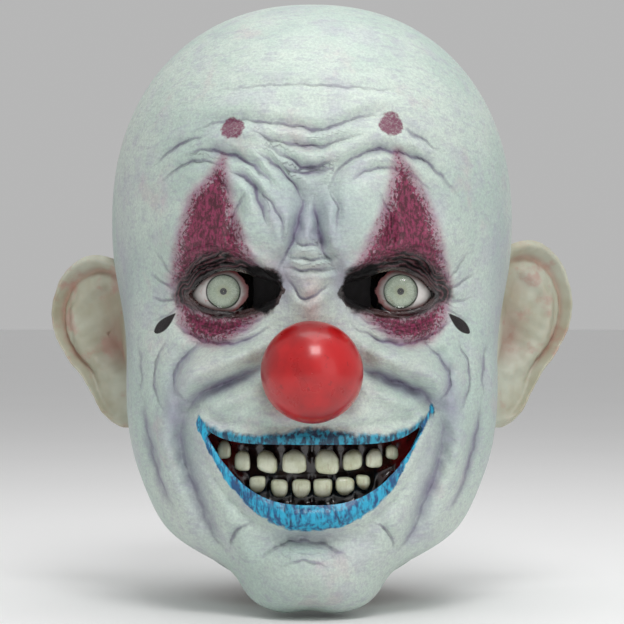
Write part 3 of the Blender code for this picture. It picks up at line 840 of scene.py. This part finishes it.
def shell(name, values):
    """The latex where values > 0, with its thickness, paint values and an unfolded UV."""
    moved, faces = cut_sheet(values, outer)
    deep = np.clip(outer[:, 1] - smooth_outer[:, 1], 0, None).reshape(rings, around)
    for _ in range(6 if FINE else 3):
        around_it = [np.roll(deep, shift, ax) for ax in (1, 0) for shift in (1, -1)]
        deep = np.maximum.reduce([deep, *around_it])
    sunk = smooth_outer + deep.reshape(-1, 1) * (0, 1, 0)
    on_border = np.abs(moved - outer).max(axis=1, keepdims=True) > 0
    inner = np.where(on_border, moved, sunk) - normal * WALL
    room = ((moved - inner) * normal).sum(axis=1)
    inner = inner - normal * np.clip(0.0016 - room, 0, None)[:, None]
    size = len(moved)
    edges = {}
    out = []
    for face in faces:
        edges.update(dict.fromkeys(zip(face, face[1:] + face[:1])))
        out += [face, tuple(v + size for v in reversed(face))]
    whole = {v for face in faces for v in face}
    for ring in (0, rings - 1):
        cap = tuple(range(ring * around, (ring + 1) * around))
        if whole.issuperset(cap):
            cap = cap[::-1] if cap[:2] in edges else cap
            edges.update(dict.fromkeys(zip(cap, cap[1:] + cap[:1])))
            out += [cap, tuple(v + size for v in reversed(cap))]
    out += [(b, a, a + size, b + size) for a, b in edges if (b, a) not in edges]
    used = np.zeros(2 * size, bool)
    used[[v for face in out for v in face]] = True
    index = np.cumsum(used) - 1
    out = [tuple(int(index[v]) for v in face) for face in out]
    both = np.vstack((moved, inner))
    x, y, z = both.T
    ahead = y < 0.02
    near_opening = ahead & (np.minimum(eye_gap(x, z), mouth_gap(x, z)) < 0.003)
    values = {
        "crease_shade": np.tile(crease_shade, 2),
        "line": np.tile(line_at, 2),
        "line_w": np.tile(line_weight, 2),
        "inside": np.repeat((0.0, 1.0), size) * np.where(near_opening, 0.0, 1.0),
    }
    for key, value in paint(x, z).items():
        is_distance = key.startswith("d_")
        values[key] = value + np.where(ahead, 0.0, 60.0) if is_distance else np.where(ahead, value, 0.0)
    r, t = np.tile((polar / pi).ravel(), 2), np.tile(turn.ravel(), 2)
    centre = np.repeat((0.25, 0.75), size)
    uv = np.stack((centre + 0.245 * r * np.cos(t), 0.5 + 0.49 * r * np.sin(t)), axis=1)
    values = {key: value[used] for key, value in values.items()}
    return make(name, both[used], out, SKIN, sharp=55, attributes=values, uv=uv[used])


def polygon(x, z, corners):
    """Signed distance in mm to a closed outline, below zero inside."""
    line = np.array(corners, float) / MM
    line = np.vstack((line, line[:1]))
    inside = np.zeros(x.shape, bool)
    for a, b in zip(line, line[1:]):
        ab = b - a
        crosses = (a[1] > z) != (b[1] > z)
        inside ^= crosses & (x < a[0] + (z - a[1]) * ab[0] / (ab[1] if ab[1] else 1e-12))
    best = along(x, z, line)[0]
    return np.where(inside, -best, best) * MM


# Painted outlines: corners (x, z) in mm. The first triangle is the right one, mirrored.
TRIANGLES = (
    [(27, 166), (33, 181), (37, 192), (40, 207), (41.7, 217), (47.5, 208), (57, 199),
     (60.5, 187.5), (64, 173), (66.5, 158), (60, 160), (50, 164), (40, 166)],
    [(20.5, 165), (29, 182), (34.8, 194), (37.6, 207), (40, 219.5), (46.5, 209.8), (52.5, 199),
     (57.5, 187), (60.5, 175), (65, 158), (50, 164), (40, 166), (30, 166)],
)
CRESCENT = [(22, 147), (28, 146), (36, 144), (46, 143.5), (56, 147), (64, 153), (62, 140),
            (56, 132.5), (46, 130.5), (38, 133), (28, 140.5)]
DARK_LIDS = [(67, 152), (65, 158), (58, 167), (50, 172.5), (42, 173.5), (35, 171), (28, 168),
             (16, 164), (15, 157), (18, 145.5), (24, 144), (33, 142.8), (43, 142.2), (53, 144.6), (61, 148)]
BLACK_CORNER = [(31, 167.5), (25, 166.5), (18, 164.5), (14.5, 161.5), (14, 156), (17, 147),
                (21.5, 144.5), (27, 146.5), (30, 150), (31, 160)]
TEAR = np.array(((64.6, 144.6), (75.6, 134.6)))

# Soft tints: amount, then x, z, their radii (mm), and how z falls along x.
PINK = (
    (0.25, 47, 120, 14, 9, 0),
    (0.15, 0, 20, 16, 12, 0),
    (0.5, 0, 152, 7, 14, 0),
)
# Painted shade: lilac laid in the recesses and folds and on the sides of the head.
PAINTED_SHADE_SPOTS = (
    (0.8, 14, 158, 6, 12, 0),
    (0.7, 66, 100, 6, 20, 0),
    (0.6, 0, 40, 30, 4, 0),
    (0.6, 0, 189, 26, 22, 0),
    (0.9, 40, 111, 20, 3.5, 0.45),
    (0.5, 54, 62, 7, 34, 0),
    (0.5, 92, 150, 8, 60, 0),
)


def tint(x, z, spots):
    """x and z in mm."""
    total = 0
    for amount, cx, cz, rx, rz, fall in spots:
        total = total + amount * bell(x - cx, rx) * bell(z - cz + fall * (x - cx), rz)
    return clamp(total)


def paint(x, z):
    """Every painted region: names with d_ hold mm to its edge, below zero inside."""
    ax = np.abs(x)
    ax_mm, x_mm, z_mm = ax * MM, x * MM, z * MM
    triangle = np.where(x < 0, polygon(-x, z, TRIANGLES[0]), polygon(x, z, TRIANGLES[1]))
    dots = np.minimum(
        np.hypot(x + 0.037, z - 0.2306) - 0.0052, np.hypot(x - 0.0372, z - 0.2326) - 0.0056
    )
    leaf, dx, dz = TEAR[1] - TEAR[0], ax_mm - TEAR[0, 0], z_mm - TEAR[0, 1]
    t = (dx * leaf[0] + dz * leaf[1]) / (leaf @ leaf)
    off = np.abs(dx * leaf[1] - dz * leaf[0]) / np.linalg.norm(leaf)
    wide = 2.5 * np.sin(pi * clamp(t) ** 1.35) ** 0.75
    eye = eye_gap(x, z) * MM
    liner = 1.5 + 1.2 * bell(ax_mm - 17, 7) + 0.6 * bell(ax_mm - 58, 6)
    liner = liner + 1.3 * clamp((0.1530 - z) / 0.003)
    up, low = lip_distances(x, z)
    beyond = np.maximum(ax - half_mouth(x) - 0.001, 0) * MM * 3
    band_up = 4.8 + 3.0 * bell(x_mm, 16) - 2.8 * (ax / 0.056) ** 4
    band_low = 6.5 + 5.8 * bell(x_mm, 28) - 3.0 * (ax / 0.056) ** 6
    band_low = band_low * (1 - 0.7 * clamp((x - 0.039) / 0.008))
    return {
        "d_magenta": np.minimum(triangle, polygon(ax, z, CRESCENT)),
        "d_dots": dots * MM,
        "d_dark": polygon(ax, z, DARK_LIDS),
        "d_corner": polygon(ax, z, BLACK_CORNER),
        "d_eye": eye,
        "d_tears": np.where((t > 0) & (t < 1), off - wide, 3 + 20 * np.abs(t - 0.5)),
        "d_liner": eye - liner,
        "d_upper_lip": np.maximum(up - band_up, -up - 3.0) + beyond,
        "d_lower_lip": np.maximum(low - band_low, -low - 3.0) + beyond,
        "cracks": clamp(1 - lip_cracks(x, z) / 0.30),
        "pink": tint(ax_mm, z_mm, PINK),
        # Painted shade in the recesses and folds and on the sides of the head.
        "soft": tint(ax_mm, z_mm, PAINTED_SHADE_SPOTS),
    }


SKIN = skin_material()
kept = keep_value(outer)
flap = flap_value(outer)
piece(shell("latex_head_skin", np.minimum(kept, -flap)), "head_skin")
for side, word in SIDES:
    values = np.minimum(np.minimum(kept, flap), side * outer[:, 0] - 0.001)
    made = shell("latex_nape_flap_" + word, values)
    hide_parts("rear_flap_" + word)
    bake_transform(made)

# ---- nose, eyes


def dome(name, radius, from_angle, to_angle, centre, material, steps, rows, thick, warp=None):
    """A shell of a sphere between two angles from -Y, with thickness inward."""
    angles = np.linspace(from_angle, to_angle, rows)
    unit = on_sphere(*np.meshgrid(angles, circle(steps), indexing="ij"))
    scale = np.ones(len(unit)) if warp is None else warp(unit)
    layers = [unit * (radius * scale - depth)[:, None] for depth in (0, thick)]
    vertices = np.vstack(layers) + np.array(centre)
    faces = cup_faces(rows, steps, (0, rows - 1))
    return make(name, vertices, faces, material, origin=centre, sharp=50)


def uneven(unit):
    return 1 + 0.006 * np.sin(unit[:, 0] * 5 + 1) * np.sin(unit[:, 2] * 4)


ball = dome("ball_nose", NOSE_R, 0.004, radians(136), NOSE, nose_material(), 128, 72, 0.0022, uneven)
piece(ball, "nose_ball")
SCLERA, IRIS, CORNEA = sclera_material(), iris_material(), cornea_material()
IRIS_HOLE, SHELL_EDGE = radians(28.3), radians(86)
rows, steps = 24, 72
r, s = np.meshgrid(np.linspace(0.0002, IRIS_R, rows), circle(steps), indexing="ij")
disc_faces = cup_faces(rows, steps, (rows - 1,))


def disc_points(r, y):
    return points_of(r * np.cos(s), y, r * np.sin(s))


flat = disc_points(r, -0.0140 - 0.0009 * (r / IRIS_R) ** 2)
lens = disc_points(r, -0.0150 - 0.0036 * np.sqrt(clamp(1 - (r / 0.0084) ** 2)))
rear = disc_points(r * 0.98, np.full_like(r, -0.01505))
for side, word in SIDES:
    centre = EYE * (side, 1, 1)
    made = dome("eye_white_" + word, EYE_R, IRIS_HOLE, SHELL_EDGE, centre, SCLERA, 96, 30, 0.0014)
    co = np.array([v.co[:] for v in made.data.vertices])
    reach = eye_gap(co[:, 0] + centre[0], co[:, 2] + centre[2]) * MM
    set_values(made.data, "shade", clamp(1 + reach / 2.6))
    inner_edge = 30.0 + 0.07 * (co[:, 2] * MM) ** 2
    set_values(made.data, "d_dark", inner_edge - np.abs(co[:, 0] + centre[0]) * MM)
    piece(made, "eye_shell_" + word)
    points = np.vstack((flat, flat + (0, 0.0008, 0))) + centre
    disc = make("iris_disc_" + word, points, disc_faces, IRIS, origin=centre, sharp=50)
    piece(disc, "iris_" + word)
    points = np.vstack((lens, rear)) + centre
    clear = make("cornea_lens_" + word, points, disc_faces, CORNEA, origin=centre, sharp=50)
    piece(clear, "cornea_" + word)

GAUZE = gauze_material()
for word in ("left", "right"):
    node = frame["nodes"]["vision_gauze_" + word]
    co = np.array([node.matrix_world @ v.co for v in node.data.vertices])
    root = np.abs(co[:, 0]).min()
    co[:, 0] = np.sign(co[:, 0]) * (root + (np.abs(co[:, 0]) - root) * 1.45)
    faces = [tuple(p.vertices) for p in node.data.polygons]
    panel = make("gauze_panel_" + word, co, faces, GAUZE, smooth=False)
    piece(panel, "vision_gauze_" + word)

# ---- mouth

GUM, TOOTH = gum_material(), tooth_material()


def gum(name, low, high, lump, set_back, node):
    columns, rows = 161, 41
    x = np.tile(np.linspace(-0.053, 0.053, columns), rows)
    share = np.repeat(np.linspace(0, 1, rows), columns)
    z = low(x) + share * (high(x) - low(x))
    y = front(x, z) + GUM_RECESS + set_back
    y = y - 0.0016 * np.abs(np.sin(x * 320)) * bell(share - lump, 0.30) + 0.0008
    face = np.stack((x, y, z), axis=1)
    both = np.vstack((face, face + (0, 0.0035, 0)))
    red = np.tile(clamp((np.abs(x) - 0.030) / 0.016), 2)
    made = make(name, both, plate_faces(rows, columns), GUM, sharp=50, attributes={"red": red})
    piece(made, node)


gum("gum_upper", lambda x: bite(x) - 0.0006, lambda x: upper_edge(x) + 0.006, 0.45, 0.0, "upper_gum")
gum("gum_lower", lambda x: lower_edge(x) - 0.006, lambda x: bite(x) - 0.0002, 0.62, 0.0006, "lower_gum")


def tooth(name, node, seed, up):
    """A rounded block in the CAD tooth's box, narrowed to its root and a little uneven."""
    low, high = (np.array(v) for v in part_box(node))
    centre = (low + high) / 2
    half = (high - low) / 2
    generator = np.random.default_rng(seed)
    steps, rows = 40, 28
    a, s = np.meshgrid(np.linspace(0.02, pi - 0.02, rows), circle(steps), indexing="ij")
    unit = points_of(np.sin(a) * np.cos(s), np.sin(a) * np.sin(s), np.cos(a))
    unit /= (np.abs(unit) ** 3.4).sum(axis=1, keepdims=True) ** (1 / 3.4)
    root = unit[:, 2] if up else -unit[:, 2]
    taper = 1 - 0.38 * clamp(root) ** 2.2 - 0.05 * root + 0.03 * generator.standard_normal()
    points = unit * half * 1.02
    points[:, 0] *= taper
    points[:, 2] += half[2] * 0.06 * generator.standard_normal() * unit[:, 0]
    points += 0.00018 * np.sin(points * 1500 + generator.uniform(0, 6, 3))
    before, beyond = (front(centre[0] + dx, centre[2])[0] for dx in (-0.002, 0.002))
    slope = float(beyond - before) / 0.004
    points[:, 1] += points[:, 0] * slope * 0.6
    cells = quads(rows, steps, wrap=True)
    last = len(points) - 1
    faces = [tuple(c) for c in cells] + [tuple(range(steps)), tuple(range(last, last - steps, -1))]
    # Darker brown towards the root end and towards the two sides of each tooth.
    darker_at_root_and_sides = np.maximum((root + 1) / 2, 0.95 * np.abs(unit[:, 0]) ** 5)
    made = make(name, points + centre, faces, TOOTH, attributes={"root": darker_at_root_and_sides})
    piece(made, node)


for number in range(1, 9):
    tooth(f"tooth_upper_{number}", f"upper_tooth_{number}", number, True)
for number in range(1, 7):
    tooth(f"tooth_lower_{number}", f"lower_tooth_{number}", 20 + number, False)

# ---- ears

EAR_OUTLINE = [
    (-9, 168), (-2, 177.5), (6, 181.5), (15, 182.3), (24, 179), (32.5, 171.5), (37.5, 161), (39.2, 149),
    (36.5, 137), (29.5, 125), (22, 115), (16.5, 104), (11.5, 94), (5, 87.2), (-2, 88), (-8, 97),
]
ANTIHELIX = curve([(12, 166), (20, 160), (25, 148), (22, 134), (15, 122), (7, 115)])
SPLAY = radians(60)
EAR_ROOT, EAR_LOW = 0.0985, 0.087
outline = curve(EAR_OUTLINE, 8)
count, rows = len(outline), 44
middle = np.array((0.012, 0.138))
share = np.sin(np.linspace(0.0, 1.0, rows) * pi / 2) ** 0.9
share[0] = 0.004
uv = middle + (outline[None] - middle) * share[:, None, None]
u, v = uv[..., 0] * MM, uv[..., 1] * MM
f = np.broadcast_to(share[:, None], u.shape)
openness = clamp((u + 4) / 12)
concha = bell(u - 6, 9.5) * bell(v - 134, 15)
upper = bell(u - 10, 8) * bell(v - 160, 9)
groove = bell(f - 0.80, 0.055) * openness * clamp((v - 108) / 14)
helix = 3.6 * bell(f - 0.935, 0.06) * openness
bowl = -8.5 * concha - 2.6 * upper
to_antihelix = along(uv[..., 0].ravel(), uv[..., 1].ravel(), ANTIHELIX)[0].reshape(u.shape)
front_height = bowl + 2.6 * bell(to_antihelix * MM, 3.4)
front_height += 4.5 * bell(u + 3, 4) * bell(v - 130, 7)  # tragus
front_height += helix - 2.4 * groove
front_height += 2.0 * bell(u - 6, 8) * bell(v - 97, 7)  # lobe
front_height += 0.35 * np.sin(u * 0.9 + v * 0.31) * np.sin(v * 0.5 - u * 0.2)
edge = np.sqrt(clamp(1 - f**2)) ** 0.7
back_height = bowl - 4.2 * edge + helix * clamp((f - 0.80) / 0.20) ** 2
levels = np.linspace(0.08, 0.19, 23)
start = np.stack((np.zeros(23), np.full(23, 0.002), levels), axis=1)
head_side = cast(start, np.tile((1.0, 0.0, 0.0), (23, 1)), 0.2)[:, 0]


def ear_sheet(height, side):
    """One face of the ear, splayed from the head and following its side at the root."""
    outwards = np.array((sin(SPLAY), cos(SPLAY), 0.0))
    forwards = np.array((cos(SPLAY), -sin(SPLAY), 0.0))
    p = np.array((EAR_ROOT, 0.002, 0.0)) + outwards * uv[..., :1] + forwards * (height[..., None] / MM)
    lift = -0.001 if side > 0 else -0.0085
    p[..., 2] = EAR_LOW + (uv[..., 1] - EAR_LOW) * (1 + lift / 0.095)
    follow = np.interp(p[..., 2], levels, head_side) - EAR_ROOT
    p[..., 0] += (follow - 0.002) * clamp(1 - (u + 9) / 34)
    return (p * (side, 1, 1)).reshape(-1, 3)


EAR = ear_material()
# Painted shade in the ear's bowl, the groove inside its rim and its upper hollow.
hollow_shade = clamp(concha + groove * 0.8 + 0.4 * upper)
roots = clamp(1 - (u + 4) / 7)
cells = quads(rows, count, wrap=True)
shift = rows * count
rear = cells + shift
rear[cells >= (rows - 1) * count] -= shift
for side, word in SIDES:
    points = np.vstack((ear_sheet(front_height, side), ear_sheet(back_height, side)[:-count]))
    faces = [tuple(c[::-side]) for c in cells] + [tuple(c[::side]) for c in rear]
    faces += [tuple(range(count)), tuple(range(shift + count - 1, shift - 1, -1))]
    values = {
        "crease_shade": np.r_[hollow_shade.ravel(), np.zeros((rows - 1) * count)],
        "root": np.r_[roots.ravel(), roots[:-1].ravel()],
    }
    made = make("latex_ear_" + word, points, faces, EAR, attributes=values)
    piece(made, "ear_" + word)

# ---- foam pads

FOAM = foam_material()


def pad(name, node, direction, half_wide, half_high, thickness, room):
    """A crowned foam pad that lies along the inside of the skin."""
    direction = np.array(direction) / np.linalg.norm(direction)
    side = np.cross(direction, (0.0, 0.0, 1.0))
    if np.linalg.norm(side) < 0.1:
        side = np.array((1.0, 0.0, 0.0))
    side /= np.linalg.norm(side)
    up = np.cross(side, direction)
    n = 49
    v, u = (g.ravel() for g in np.meshgrid(*[np.linspace(-1, 1, n)] * 2, indexing="ij"))
    a = u * np.sqrt(1 - 0.42 * v * v) * half_wide
    b = v * np.sqrt(1 - 0.42 * u * u) * half_high
    layers = []
    for da, db in ((0, 0), (0.02, 0), (0, 0.02)):
        d = direction + side * (a + da)[:, None] + up * (b + db)[:, None]
        d /= np.linalg.norm(d, axis=1)[:, None]
        layers.append(relief(cast(CENTRE, d), fine=False)[0])
    p, q, r = layers
    normal = np.cross(q - p, r - p)
    normal /= np.linalg.norm(normal, axis=1)[:, None]
    normal *= np.where((normal * (p - CENTRE)).sum(axis=1) < 0, -1, 1)[:, None]
    edge = np.maximum(np.abs(u), np.abs(v))
    round_off = (1 - np.sqrt(clamp(1 - clamp((edge - 0.86) / 0.14) ** 2))) * 0.5
    swell = 1 + 0.10 * (1 - edge**2)
    back = p - normal * (WALL + room + thickness * round_off)[:, None]
    face = p - normal * (WALL + room + thickness * (swell - round_off))[:, None]
    made = make(name, np.vstack((back, face)), plate_faces(n, n), FOAM)
    piece(made, node)


pad("foam_forehead", "forehead_pad", (0.0, -1.0, 0.62), 0.50, 0.24, 0.007, 0.0022)
pad("foam_crown", "crown_pad", (0.0, 0.10, 1.0), 0.40, 0.34, 0.009, 0.0008)
pad("foam_temple_left", "temple_pad_left", (1.0, 0.02, 0.20), 0.34, 0.26, 0.007, 0.0008)
pad("foam_temple_right", "temple_pad_right", (-1.0, 0.02, 0.20), 0.34, 0.26, 0.007, 0.0008)

# ---- stage


def plain(name, value, rough):
    n = Nodes(name)
    darker = tuple(c * 0.99 for c in value[:3]) + (1.0,)
    n.base = n.mix(n.ramp(n.noise(3), 0.3, 0.7), value, darker)
    return n.finish(rough)


bpy.ops.mesh.primitive_plane_add(size=40, location=(0, 0, -0.0005))
floor = bpy.context.object
floor.name = "floor"
floor.data.materials.append(plain("pale_floor", (0.9, 0.9, 0.9, 1), 0.8))
world = bpy.context.scene.world or bpy.data.worlds.new("world")
bpy.context.scene.world = world
world.use_nodes = True
background = world.node_tree.nodes["Background"].inputs
background[0].default_value, background[1].default_value = (1, 1, 1, 1), 0.47


def area(name, place, target, size, power):
    light = bpy.data.lights.new(name, "AREA")
    light.energy, light.size = power, size
    made = bpy.data.objects.new(name, light)
    made.location = place
    made.rotation_euler = (Vector(target) - Vector(place)).to_track_quat("-Z", "Y").to_euler()
    link(made)


area("key", (0.15, -1.0, 1.25), (0, 0, 0.17), 0.55, 9.5)
area("fill", (0.9, -1.2, 0.40), (0, 0, 0.15), 0.9, 2.0)
area("top", (0.1, 0.1, 1.4), (0, 0, 0.2), 0.9, 6)

camera = bpy.data.cameras.new("camera")
camera.lens, camera.sensor_width = 148.8, 36
eye = bpy.data.objects.new("camera", camera)
eye.location = (0.0, -1.3, 0.145)
eye.rotation_euler = (radians(90), 0, 0)
link(eye)
bpy.context.scene.camera = eye
bpy.context.scene.view_settings.view_transform = "Standard"
